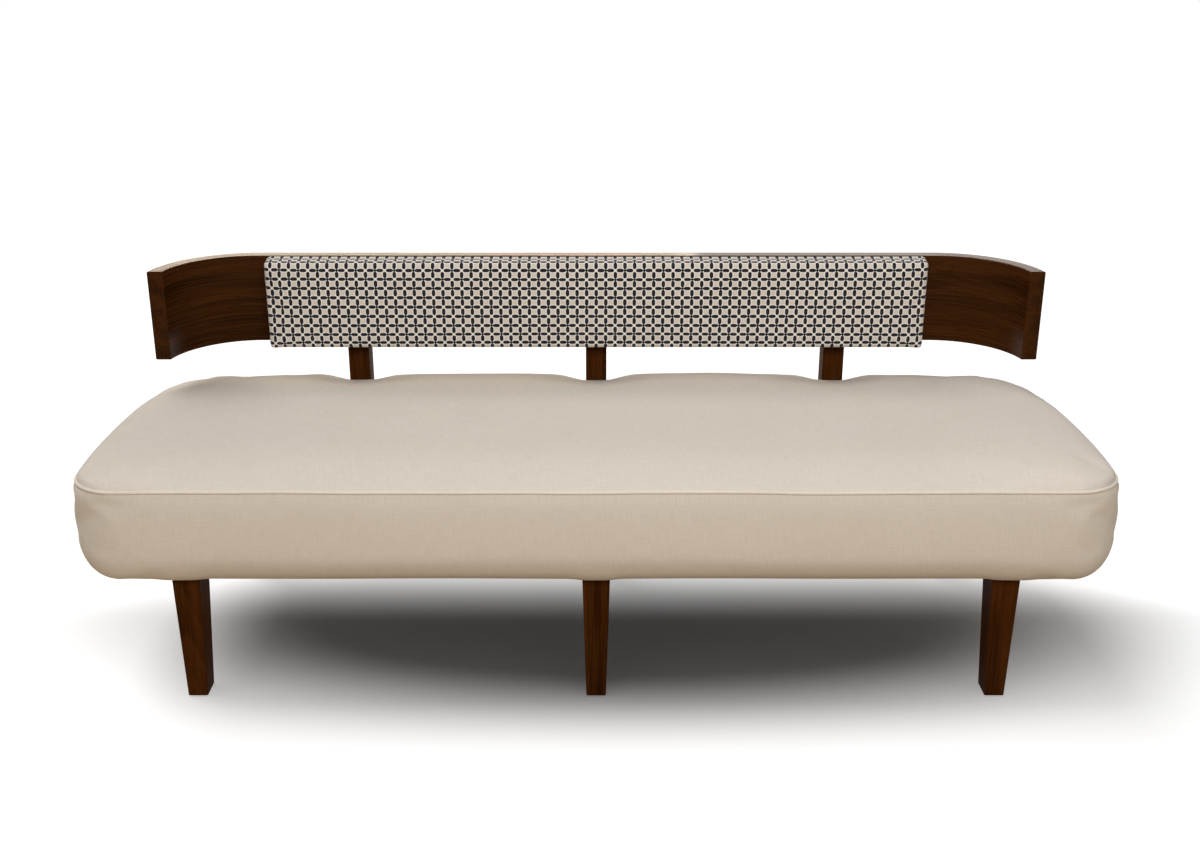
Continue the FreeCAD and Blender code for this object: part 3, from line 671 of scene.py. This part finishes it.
@dataclass
class Seat:
    """The boxed seat: its cover over foam and padding, and the piping along its seam.

    A field that ends in zone says between which two places, or distances, a change takes place.
    """

    half_width: float = 0.911
    half_depth: float = 0.3235
    bottom: float = 0.2425
    seam: float = 0.429
    grid: Counts = (148, 52, 16)
    front_corner: Pair = (0.075, 0.078)
    rear_corner: Pair = (0.140, 0.100)
    corner_cuts: int = 16
    side_roll: Pair = (0.046, 0.062)
    end_roll: Pair = (0.043, 0.072)
    swell: Pair = (0.003, 0.0040)
    swell_top: float = 0.55
    tuck: Pair = (0.0075, 0.0005)
    drawn_edge: float = 0.05
    drawn_power: float = 1.4
    crown: float = 0.0205
    crown_spread: float = 0.215
    end_crown: float = 0.7
    end_zone: Pair = (0.30, 0.02)
    shoulder: float = 0.010
    shoulder_reach: float = 0.0065
    shoulder_zone: Pair = (0.10, 0.30)
    front_shoulder: float = 0.35
    end_shoulder: float = 1.75
    rear_shoulder: float = 1.05
    rear_zone: Pair = (0.05, 0.25)
    rear_drop: float = 0.011
    bow: float = 0.0215
    bow_place: float = -0.10
    bow_curve: float = 0.33
    bow_start: float = 0.55
    bow_zone: Pair = (0.29, 0.42)
    upper_zone: Pair = (0.33, 0.42)
    lower_zone: Pair = (0.246, 0.29)
    rim_zone: Pair = (0.255, 0.285)
    rim_sag: float = 0.0016
    post_spacing: float = 0.496
    post_zone: Pair = (0.12, 0.263)
    post_slit: Pair = (0.021, 0.004)
    dip: float = 0.014
    dip_zone: Pair = (0.008, 0.085)
    lift: float = 0.0045
    leg_spacing: float = 0.737
    bulge: float = 0.0030
    bulge_zone: Pair = (0.02, 0.05)
    ripple: Pair = (0.0006, 0.0007)
    piping: float = 0.0031
    piping_proud: float = 0.0010
    piping_step: float = 0.012
    linen: Linen = Linen("seat_linen", Cloth.UNROLLED)
    # Painted highlight: the piping's linen is lighter than the seat's linen, so that the piping reads as a lit line
    # along the seam.
    piping_highlight_linen: Linen = Linen("piping_highlight_linen", Cloth.OBJECT, (0.775, 0.708, 0.632), (0.637, 0.569, 0.491))

    def block(self, parts: Counts) -> Form:
        """Make the seat's plain block, from its bottom to its seam."""
        low = (-self.half_width, -self.half_depth, self.bottom)
        return gridded_block(low, (self.half_width, self.half_depth, self.seam), parts)

    def inset(self, block: Array) -> Array:
        """Give how far points on the block are from its four sides."""
        return np.minimum(self.half_width - np.abs(block[:, 0]), self.half_depth - np.abs(block[:, 1]))

    def on_seam(self, block: Array) -> Array:
        """Say which points on the block are on the seam."""
        return (block[:, 2] > self.seam - TINY) & (self.inset(block) < TINY)

    def seam_path(self) -> Array:
        """Give the seam's points in order: the block's top outline with its four rounded corners.

        Returns:
            The points, one row each.
        """
        form = self.block((1, 1, 1))
        for sign, (radius, _) in ((-1, self.front_corner), (1, self.rear_corner)):
            upright = []
            for edge in form.edges:
                first, second = (vert.co for vert in edge.verts)
                if abs(first.z - second.z) > radius / 2 and first.y * sign > 0:
                    upright.append(edge)
            bmesh.ops.bevel(
                form, geom=upright, offset=radius, segments=self.corner_cuts, profile=0.5, affect="EDGES", material=-1
            )
        top = max(form.faces, key=lambda face: face.calc_center_median().z)
        for edge in list(top.edges):
            cuts = int(edge.calc_length() / self.piping_step)
            if cuts:
                bmesh.ops.bisect_edges(form, edges=[edge], cuts=cuts)
        path = np.array([tuple(vert.co) for vert in top.verts])
        form.free()
        return path

    def shape(self, block: Array) -> Array:
        """Turn the block into the seat's form: round corners, a rolled lower edge and a crowned top.

        Args:
            block: Points on the block, one row each.

        Returns:
            The points on the form.
        """
        x, y, z = block.T
        wide, deep, tall = self.half_width, self.half_depth, self.seam - self.bottom
        out_x, out_y = np.abs(x), np.abs(y)
        inset = np.maximum(self.inset(block), 0)
        facing_y = deep - out_y <= wide - out_x
        top, under = z > self.seam - TINY, z < self.bottom + TINY
        # Round corners, seen from above: how far each point turns round its corner.
        low = np.where(top, 0, (self.seam - z) / tall)
        radius = np.where(y < 0, blend(self.front_corner, low), blend(self.rear_corner, low))
        arc = np.maximum(radius - inset, TINY)
        along = np.where(facing_y, wide - inset - out_x, deep - inset - out_y)
        corner = (along < arc) & (inset < radius - TINY)
        half_bend = pi / 4 * (1 - along / arc)
        bent = np.where(facing_y, half_bend, pi / 2 - half_bend)
        bend = np.where(corner, bent, np.where(facing_y, 0, pi / 2))
        # The rolled lower edge, and the band's fullness above it.
        edge = self.drawn_edge
        drawn = np.where(inset < edge, edge * (inset / edge) ** self.drawn_power, inset)
        toward_end = smooth_step(bend, 0.0, pi / 2)
        across, upward = (blend(ends, toward_end) for ends in zip(self.side_roll, self.end_roll))
        from_edge = np.where(under, inset / across, (z - self.bottom) / upward)
        half_turn = pi / 4 * np.clip(1 - from_edge, 0, 1)
        turn = np.where(under, pi / 2 - half_turn, half_turn)
        rolled = ~top & (from_edge < 1)
        depth = np.where(rolled, across * (1 - np.cos(turn)), np.where(top, drawn, inset))
        level = np.where(rolled, self.bottom + upward * (1 - np.sin(turn)), z)
        height = (self.seam - level) / tall
        power = np.where(height < 0.5, self.swell_top, 1.0)
        full = np.maximum(np.sin(pi * np.clip(height, 0, 1)), 0) ** power
        depth -= np.where(top, 0, blend(self.swell, toward_end) * full)
        # The crowned top, with fuller shoulders at its ends and back.
        share = np.clip(depth / self.crown_spread, 0, 1)
        ends = smooth_step(out_x, wide - self.end_zone[0], wide - self.end_zone[1])
        before, painted_glow_behind = (smooth_step(side, *self.shoulder_zone) for side in (-y, y))
        most = blend((self.end_shoulder, self.rear_shoulder), smooth_step(y, *self.rear_zone))
        share_up = np.clip(self.end_shoulder * ends + (self.front_shoulder * before + painted_glow_behind), 0, most)
        rise = self.shoulder * (1 - np.exp(-depth / self.shoulder_reach)) * share_up
        dome = self.crown * (1 - (1 - share) ** 3) * (1 - (1 - self.end_crown) * ends)
        level = np.where(top, self.seam + dome + rise, level)
        # Back to places, with the seam tucked in.
        reach = np.maximum(radius - depth, 0)
        far_x = np.where(corner, wide - radius + reach * np.sin(bend), np.where(facing_y, out_x, wide - depth))
        far_y = np.where(corner, deep - radius + reach * np.cos(bend), np.where(facing_y, deep - depth, out_y))
        seam = self.on_seam(block)
        far_x = np.where(seam, far_x * (1 - self.tuck[0] / wide), far_x)
        far_y = np.where(seam, far_y * (1 - self.tuck[1] / deep), far_y)
        return np.stack([np.sign(x) * far_x, np.sign(y) * far_y, level], axis=1)

    def ease(self, points: Array) -> Array:
        """Move points as upholstery does: bowed ends, a rear edge drawn down, dips at posts, bulges at legs, ripples.

        Args:
            points: Points on the form, one row each.

        Returns:
            The moved points.
        """
        moved = points.copy()
        x, y, z = points.T
        ends = smooth_step(np.abs(x), self.bow_start, self.half_width)
        bowed = self.bow - self.bow_curve * (y - self.bow_place) ** 2
        inward = bowed * smooth_step(z, *self.bow_zone)
        moved[:, 0] += np.sign(x) * ends * np.where(bowed < 0, inward, bowed)
        upper = smooth_step(z, *self.upper_zone)
        moved[:, 2] -= self.rear_drop * upper * smooth_step(y, self.rim_zone[0], self.half_depth)
        rear = smooth_step(y, *self.post_zone) * upper
        between = np.sin(pi * x / self.post_spacing) ** 2 * (np.abs(x) < self.post_spacing)
        moved[:, 2] += self.lift * rear * between
        lower = (1 - smooth_step(z, *self.lower_zone)) * smooth_step(np.abs(y), *self.rim_zone)
        moved[:, 2] -= self.rim_sag * lower
        for step in SIDES.values():
            near_post = np.abs(x - step * self.post_spacing)
            moved[:, 2] -= self.dip * rear * (1 - smooth_step(near_post, *self.dip_zone))
            near_leg = np.abs(x - step * self.leg_spacing)
            moved[:, 2] -= self.bulge * lower * (1 - smooth_step(near_leg, *self.bulge_zone))
        ripple = np.sin(x * 9.1 + 0.4) + 0.6 * np.sin(x * 17.3 + y * 11.0 + 1.7) + 0.4 * np.sin(x * 31.0 - 0.8)
        moved[:, 2] += self.ripple[0] * ripple * upper
        moved[:, 1] += self.ripple[1] * np.sin(x * 13.7 + 2.0) * np.sign(y)
        return moved

    def held(self, block: Array, points: Array) -> Array:
        """Say which points stay where they are: the seam, the underside and the slits round the posts.

        Args:
            block: The points on the block.
            points: The same points on the form.

        Returns:
            True for each point that stays.
        """
        under = (block[:, 2] < self.bottom + TINY) & (self.inset(block) > self.end_roll[0])
        at_back = (block[:, 2] > self.seam - TINY) & (points[:, 1] > self.post_zone[1] - self.post_slit[1])
        across = np.min([np.abs(points[:, 0] - step * self.post_spacing) for step in SIDES.values()], axis=0)
        return self.on_seam(block) | under | (at_back & (across < self.post_slit[0]))

    def flatten(self, mesh: Mesh) -> Array:
        """Unroll the cover on the block: the top and underside from above, the band along its sides.

        Args:
            mesh: The block's mesh.

        Returns:
            Two coordinates for each corner of each face.
        """
        points, normals = corners(mesh)
        x, y, z = points.T
        side = (self.half_width + self.half_depth + y) * np.sign(normals[:, 0])
        run = np.where(np.abs(normals[:, 0]) > 0.5, side, x)
        level = np.abs(normals[:, 2]) > 0.5
        return np.stack([np.where(level, x, run), np.where(level, y, z)], axis=1)

    def crease(self, mesh: Mesh, seam: Array) -> None:
        """Keep the edges between points on the seam sharp when the mesh is divided."""
        sharp = [float(seam[list(edge.vertices)].all()) for edge in mesh.edges]
        mesh.attributes.new("crease_edge", "FLOAT", "EDGE").data.foreach_set("value", sharp)

    def make_cover(self) -> None:
        """Build the padded cover: the gridded block shaped, eased, blown up by its filling and divided once."""
        cover = add_object("seat_cover", self.block(self.grid))
        block = read_points(cover.data)
        unroll(cover.data, self.flatten(cover.data))
        points = self.shape(block)
        write_points(cover.data, self.ease(points))
        Puff(pressure=4.0, cap=0.006).run(cover, self.held(block, points))
        self.crease(cover.data, self.on_seam(block))
        apply(cover, "SUBSURF", levels=1, render_levels=1)
        dress(cover, self.linen.build(), ("seat_top_cover", "seat_boxing", "seat_foam", "edge_padding"))

    def make_piping(self) -> None:
        """Build the piping: a soft tube round the seam, eased as the cover is."""
        halves = (self.half_width, self.half_depth)
        grow = [1 + (self.piping_proud - tuck) / half for tuck, half in zip(self.tuck, halves)]
        path = self.ease(self.seam_path() * [*grow, 1.0])
        line = bpy.data.curves.new("seat_piping", "CURVE")
        assign(line, dimensions="3D", bevel_depth=self.piping, bevel_resolution=4, resolution_u=2)
        spline = line.splines.new("NURBS")
        spline.points.add(len(path) - 1)
        spline.points.foreach_set("co", np.c_[path, np.ones(len(path))].ravel())
        assign(spline, use_cyclic_u=True, order_u=4)
        tube = add_object("piping_path", line)
        mesh = baked(tube)
        bpy.data.objects.remove(tube)
        dress(add_object("piping", mesh), self.piping_highlight_linen.build(), ("seat_piping",))

    def make(self) -> None:
        """Build the whole seat."""
        self.make_cover()
        self.make_piping()


@dataclass
class BackPad:
    """The padded back cushion on the rail."""

    low: Triple = (-0.6725, 0.2176, 0.5170)
    high: Triple = (0.6725, 0.2628, 0.7038)
    turn: Triple = (0.0055, 0.010, 0.010)
    grid: Counts = (190, 7, 26)
    cloth: LatticeCloth = LatticeCloth("pad_lattice")

    def shape(self, block: Array) -> Array:
        """Round the pad's edges, apart from those at its back.

        Args:
            block: Points on the pad's plain block, one row each.

        Returns:
            The points on the rounded form.
        """
        low, high, turn = (np.array(values) for values in (self.low, self.high, self.turn))
        core = np.clip(block, low + turn, high - turn * np.array([1, 0, 1]))
        off = (block - core) / turn
        share = 1 / np.maximum(np.linalg.norm(off, axis=1), NIL)
        rim = ((block <= low + TINY) | (block >= high - TINY))[:, [0, 2]].any(axis=1)
        at_back = (block[:, 1] > self.high[1] - TINY) & ~rim
        return core + off * turn * np.where(at_back, np.minimum(share, 1), share)[:, None]

    def flatten(self, mesh: Mesh) -> Array:
        """Give the cover's unrolled coordinates, from its front round its edges.

        Args:
            mesh: The rounded form's mesh.

        Returns:
            Two coordinates for each corner of each face.
        """
        points, _ = corners(mesh)
        ahead = self.low[1] + self.turn[1] - points[:, 1]
        flat = []
        for axis in (0, 2):
            turn, value = self.turn[axis], points[:, axis]
            inner = np.clip(value, self.low[axis] + turn, self.high[axis] - turn)
            over = value - inner
            bent = turn * np.arctan2(np.abs(over), np.maximum(ahead, 0.0) + NIL) + np.maximum(-ahead, 0.0)
            flat.append(inner + np.sign(over) * np.where(np.abs(over) > TINY / 10, bent, 0.0))
        return np.stack(flat, axis=1)

    def make(self) -> None:
        """Build the pad, blown up by its foam."""
        pad = add_object("back_pad", gridded_block(self.low, self.high, self.grid))
        block = read_points(pad.data)
        write_points(pad.data, self.shape(block))
        unroll(pad.data, self.flatten(pad.data))
        Puff(pressure=4.0, cap=0.003, tension=25.0).run(pad, block[:, 1] > self.high[1] - TINY)
        apply(pad, "SUBSURF", levels=1, render_levels=1)
        dress(pad, self.cloth.build(), ("pad_cover", "pad_foam"))


@dataclass
class Underside:
    """The cloth tacked under the seat, with its staples."""

    half_width: float = 0.8277
    half_depth: float = 0.2627
    level: float = 0.2412
    grid: tuple[int, int] = (112, 36)
    sag: float = 0.004
    rim: float = 0.08
    thickness: float = 0.0008
    leg_spacing: float = 0.737
    leg_half: float = 0.0255
    leg_inner: float = 0.2115
    leg_clear: float = 0.008
    staple: Triple = (0.0115, 0.0012, 0.0009)
    staple_edge: float = 0.0003
    staple_sunk: float = 0.0004
    staple_gap: float = 0.055
    staple_inset: float = 0.007
    staple_end: float = 0.02
    bonded: Speckle = Speckle("bonded_cloth", (0.004, 0.004, 0.0045), (0.012, 0.012, 0.013), 0.0012, 0.0003)

    def from_leg(self, x: float) -> float:
        """Give how far a place is from the nearest leg, along X."""
        return min(abs(x - step * self.leg_spacing) for step in SIDES.values())

    def notched(self) -> Form:
        """Make the flat cloth, with a notch for each leg.

        Returns:
            The cloth's form.
        """
        form = bmesh.new()
        add_grid(form, self.grid, (self.half_width, self.half_depth), self.level)
        across, along = Vector((1.0, 0.0, 0.0)), Vector((0.0, 1.0, 0.0))
        sides = [step * self.leg_spacing + sign * self.leg_half for step in SIDES.values() for sign in (-1, 1)]
        lines = [(place, across) for place in sides] + [(sign * self.leg_inner, along) for sign in (-1, 1)]
        for place, normal in lines:
            geometry = [*form.verts, *form.edges, *form.faces]
            bmesh.ops.bisect_plane(form, geom=geometry, dist=TINY / 10, plane_co=place * normal, plane_no=normal)
        notches = []
        for face in form.faces:
            middle = face.calc_center_median()
            if self.from_leg(middle.x) < self.leg_half and abs(middle.y) > self.leg_inner:
                notches.append(face)
        bmesh.ops.delete(form, geom=notches, context="FACES")
        return form

    def make_cloth(self) -> None:
        """Build the cloth, which sags a little between the frame's members."""
        cloth = add_object("dust_cloth", self.notched())
        points = read_points(cloth.data)
        bays = np.abs(np.sin(points[:, 0] / self.leg_spacing * pi))
        rows = np.clip(1 - (points[:, 1] / self.half_depth) ** 2, 0, 1)
        rim = smooth_step(self.half_width - np.abs(points[:, 0]), 0.0, self.rim)
        points[:, 2] -= self.sag * bays * rows * rim
        write_points(cloth.data, points)
        apply(cloth, "SOLIDIFY", thickness=self.thickness, offset=1.0)
        dress(cloth, self.bonded.build(), ("dust_cover",))

    def staple_places(self) -> list[Triple]:
        """Give each staple's place and its turn.

        Returns:
            X, Y and the turn of each.
        """
        run, width = self.half_width - self.staple_end, self.half_depth - self.staple_end
        along, across = (int(2 * half / self.staple_gap) for half in (run, width))
        places = []
        for number in range(along + 1):
            x = (number / along * 2 - 1) * run
            if self.from_leg(x) > self.leg_half + self.leg_clear:
                places += [(x, sign * (self.half_depth - self.staple_inset), 0.0) for sign in (-1, 1)]
        for number in range(across + 1):
            y = (number / across * 2 - 1) * width
            places += [(sign * (self.half_width - self.staple_inset), y, pi / 2) for sign in (-1, 1)]
        return places

    def make_staples(self, steel: Material) -> None:
        """Build the staples along the cloth's edge.

        Args:
            steel: The staples' plated steel.
        """
        form = bmesh.new()
        for x, y, turn in self.staple_places():
            made = bmesh.ops.create_cube(form, size=1.0)["verts"]
            bmesh.ops.scale(form, vec=self.staple, verts=made)
            edges = {edge for vert in made for edge in vert.link_edges}
            ends = [edge for edge in edges if abs(edge.verts[0].co.y - edge.verts[1].co.y) > self.staple[1] / 2]
            bmesh.ops.bevel(
                form, geom=ends, offset=self.staple_edge, segments=1, profile=0.5, affect="EDGES", material=-1
            )
            grown = [vert for vert in form.verts if vert.co.length < self.staple[0]]
            bmesh.ops.rotate(form, cent=(0, 0, 0), matrix=Matrix.Rotation(turn, 3, "Z"), verts=grown)
            bmesh.ops.translate(form, vec=(x, y, self.level - self.staple_sunk), verts=grown)
        dress(add_object("cloth_staples", form), steel, smooth=False)

    def make(self, steel: Material) -> None:
        """Build the cloth and its staples of plated steel."""
        self.make_cloth()
        self.make_staples(steel)


@dataclass
class Suspension:
    """The webbing straps over the frame and the deck cloth on them.

    A pair of level, half length, count or spread is for the straps across the frame and those along it.
    """

    strap_half: float = 0.025
    thickness: float = 0.0014
    strap_grid: tuple[int, int] = (24, 24)
    level: Pair = (0.3452, 0.3467)
    half: Pair = (0.278, 0.847)
    count: tuple[int, int] = (12, 4)
    spread: Pair = (0.822, 0.257)
    sag: float = 0.003
    deck_level: float = 0.3476
    deck_half: Pair = (0.845, 0.277)
    deck_grid: tuple[int, int] = (80, 26)
    deck_thickness: float = 0.001
    jute: Webbing = Webbing("jute")
    plain: Linen = Linen("deck_plain", Cloth.OBJECT, (0.42, 0.36, 0.27), (0.30, 0.25, 0.18))

    def straps(self, row: int) -> Form:
        """Make a row of straps that sag.

        Args:
            row: 0 for the straps across the frame, 1 for those along it.

        Returns:
            The row's form.
        """
        form = bmesh.new()
        length, count = self.half[row], self.count[row]
        half = (length, self.strap_half) if row else (self.strap_half, length)
        for number in range(count):
            made = add_grid(form, self.strap_grid, half)
            for vert in made:
                vert.co.z = -self.sag * (1 - (abs(vert.co[1 - row]) / length) ** 2)
            place = [0.0, 0.0, self.level[row]]
            place[row] = ((number + 0.5) / count * 2 - 1) * self.spread[row]
            bmesh.ops.translate(form, vec=place, verts=made)
        return form

    def make(self) -> None:
        """Build the straps both ways and the deck cloth."""
        jute = self.jute.build()
        for row, name in enumerate(("cross", "long")):
            item = add_object(f"{name}_straps", self.straps(row))
            apply(item, "SOLIDIFY", thickness=self.thickness, offset=0.0)
            dress(item, jute, (f"{name}_webbing",))
        form = bmesh.new()
        add_grid(form, self.deck_grid, self.deck_half, self.deck_level)
        deck = add_object("deck_sheet", form)
        apply(deck, "SOLIDIFY", thickness=self.deck_thickness, offset=1.0)
        dress(deck, self.plain.build(), ("deck_cloth",))


@dataclass
class Timber:
    """The CAD pieces that stay in view, and the finishes that they get."""

    raw: tuple[Colour, Colour, Colour] = ((0.34, 0.22, 0.115), (0.44, 0.30, 0.165), (0.53, 0.385, 0.23))
    stain: tuple[Colour, Colour, Colour] = ((0.021, 0.0060, 0.0011), (0.060, 0.0168, 0.0029), (0.112, 0.038, 0.0090))
    felt: Speckle = Speckle("glide_felt", (0.014, 0.010, 0.008), (0.035, 0.026, 0.020), 0.0009, 0.0004)

    def paint(self, nodes: tuple[str, ...], material: Material) -> None:
        """Give CAD pieces a material.

        Args:
            nodes: The pieces' names.
            material: Their material.
        """
        for name in nodes:
            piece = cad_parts[name]
            piece.data.materials.clear()
            piece.data.materials.append(material)
            LOG.info("%s: %s", name, material.name)

    def raw_wood(self, grain: Grain) -> Material:
        """Make the frame's raw hardwood."""
        return Wood(f"raw_{grain.value}", grain, *self.raw, gloss=(0.6, 0.78), specular=0.25, relief=0.4).build()

    def make(self, steel: Material) -> None:
        """Dress every CAD piece that stays.

        Args:
            steel: The fixings' plated steel.
        """
        uprights = tuple(f"{kind}_{side}" for kind in ("front_leg", "rear_leg", "back_post") for side in SIDES)
        stained = Wood("stained_upright", Grain.UPRIGHT, *self.stain, gloss=(0.42, 0.58), specular=0.012, relief=0.3)
        ends = ("left_end_rail", "right_end_rail", *(f"leg_bearer_{side}" for side in SIDES))
        self.paint(uprights, stained.build())
        self.paint(("back_rail",), Wood("stained_bend", Grain.BEND).build())
        self.paint(("front_rail", "rear_rail", "pad_board", "pad_tongue"), self.raw_wood(Grain.ACROSS))
        self.paint(ends, self.raw_wood(Grain.DEPTH))
        self.paint(("corner_blocks",), self.raw_wood(Grain.UPRIGHT))
        self.paint(("post_bolts", "post_nuts"), steel)
        self.paint(("glides",), self.felt.build())


@dataclass(frozen=True)
class Lamp:
    """A soft box, which lights all but the floor."""

    name: str
    place: Triple
    target: Triple
    size: Pair
    power: float
    colour: Colour = (1.0, 1.0, 1.0)

    def hang(self, floor: Item) -> None:
        """Hang the box and point it at its target.

        Args:
            floor: The floor, which it doesn't light.
        """
        lamp = bpy.data.lights.new(self.name, "AREA")
        lamp.shape = "RECTANGLE"
        assign(lamp, size=self.size[0], size_y=self.size[1], energy=self.power, color=self.colour)
        item = add_object(self.name, lamp)
        aim = Vector(self.target) - Vector(self.place)
        turn = aim.to_track_quat("-Z", "Y").to_euler()
        assign(item, visible_camera=False, location=self.place, rotation_euler=turn)
        group = bpy.data.collections.new(f"{self.name}_spares")
        group.objects.link(floor)
        group.collection_objects[0].light_linking.link_state = "EXCLUDE"
        item.light_linking.receiver_collection = group


@dataclass
class Studio:
    """The floor, the lights and the camera."""

    floor_half: float = 14.0
    floor_white: Colour = (0.95, 0.95, 0.95)
    floor_warm: Colour = (0.96, 0.73, 0.46)
    # Painted light: the floor's glow for what sees it, and the shade fields that shape it, paint the shadow round the
    # bench and a light band behind it.
    painted_glow: float = 0.64
    shade_middle: Pair = (0.07, 0.05)
    shade_slim: float = 0.377
    shade_reach: Pair = (0.24, 0.54)
    shade_rear: Pair = (0.002, 0.332)
    sky: float = 0.15
    sun: float = 1.50
    sun_spread: float = 40.0
    sun_tilt: Triple = (-13.0, -25.0, 0.0)
    lamps: tuple[Lamp, ...] = (
        Lamp("front_box", (0.3, -3.0, 2.6), (0.0, 0.0, 0.4), (2.4, 1.2), 93.0),
        Lamp("window_strip", (-0.5, 0.93, 0.860), (-0.5, 0.28, 0.70), (1.5, 0.085), 3.4, (1.0, 0.80, 0.58)),
        Lamp("window_end", (0.75, 0.93, 0.860), (0.75, 0.28, 0.70), (1.1, 0.085), 1.1, (1.0, 0.90, 0.80)),
    )
    lens: float = 42.75
    sensor: float = 36.0
    shift: float = 0.0032
    stand: Triple = (0.0, -2.582, 1.390)
    tilt: float = 69.77

    def make_floor(self) -> Item:
        """Build the pale floor, seen white far from the bench; near it a painted glow fades out, which paints the
        shadow's outline over the real shadow.

        Returns:
            The floor.
        """
        form = bmesh.new()
        add_grid(form, (2, 2), (self.floor_half, self.floor_half))
        floor = add_object("floor", form)
        graph = Graph("floor_pale")
        x, y, _ = graph.place().split()
        far = ((x - self.shade_middle[0]) * self.shade_slim).far(y - self.shade_middle[1])
        # Painted light: a seen glow that rises away from the bench and towards its back paints the shadow's edge and a
        # light band under the seat's rear; the real shadow shows only where the glow is gone.
        painted_glow_around = far.spread(*self.shade_reach, 0.0, self.painted_glow)
        painted_glow_behind = y.spread(*self.shade_rear, 0.0, self.painted_glow)
        seen = graph.seen()
        material = graph.finish(
            Base_Color=seen.mix(self.floor_warm, self.floor_white),
            Roughness=0.9,
            Specular_IOR_Level=0.0,
            Emission_Color=(1.0, 1.0, 1.0),
            Emission_Strength=seen * (painted_glow_around + painted_glow_behind).least(self.painted_glow),
        )
        floor.data.materials.append(material)
        return floor

    def make_sky(self) -> None:
        """Light the scene evenly, with a white background for what sees it."""
        world = bpy.data.worlds.new("studio")
        bpy.context.scene.world = world
        graph = Graph(world)
        strength = graph.seen().spread(0.0, 1.0, self.sky, 1.0)
        shade = graph.term("ShaderNodeBackground", {"Color": (1.0, 1.0, 1.0), "Strength": strength})
        graph.add("ShaderNodeOutputWorld", {"Surface": shade})

    def make_sun(self) -> None:
        """Light everything evenly from overhead."""
        sun = bpy.data.lights.new("overhead", "SUN")
        assign(sun, energy=self.sun, angle=radians(self.sun_spread))
        add_object("overhead", sun).rotation_euler = [radians(angle) for angle in self.sun_tilt]

    def make_camera(self) -> None:
        """Set the camera where the photo was taken from."""
        camera = bpy.data.cameras.new("camera")
        assign(camera, lens=self.lens, sensor_width=self.sensor, shift_x=self.shift)
        item = add_object("camera", camera)
        assign(item, location=self.stand, rotation_euler=(radians(self.tilt), 0.0, 0.0))
        bpy.context.scene.camera = item

    def make(self) -> None:
        """Set up the whole studio."""
        bpy.context.scene.view_settings.view_transform = "Standard"
        floor = self.make_floor()
        self.make_sky()
        self.make_sun()
        for lamp in self.lamps:
            lamp.hang(floor)
        self.make_camera()


def main() -> None:
    """Build every piece, in order."""
    logging.basicConfig(level=logging.INFO, format="%(message)s")
    Studio().make()
    steel = Speckle("zinc_steel", (0.32, 0.32, 0.31), (0.52, 0.52, 0.50), 0.0012, 0.00008, (0.42, 0.28), 1.0).build()
    Timber().make(steel)
    Suspension().make()
    Seat().make()
    Underside().make(steel)
    BackPad().make()


if __name__ == "__main__":
    main()
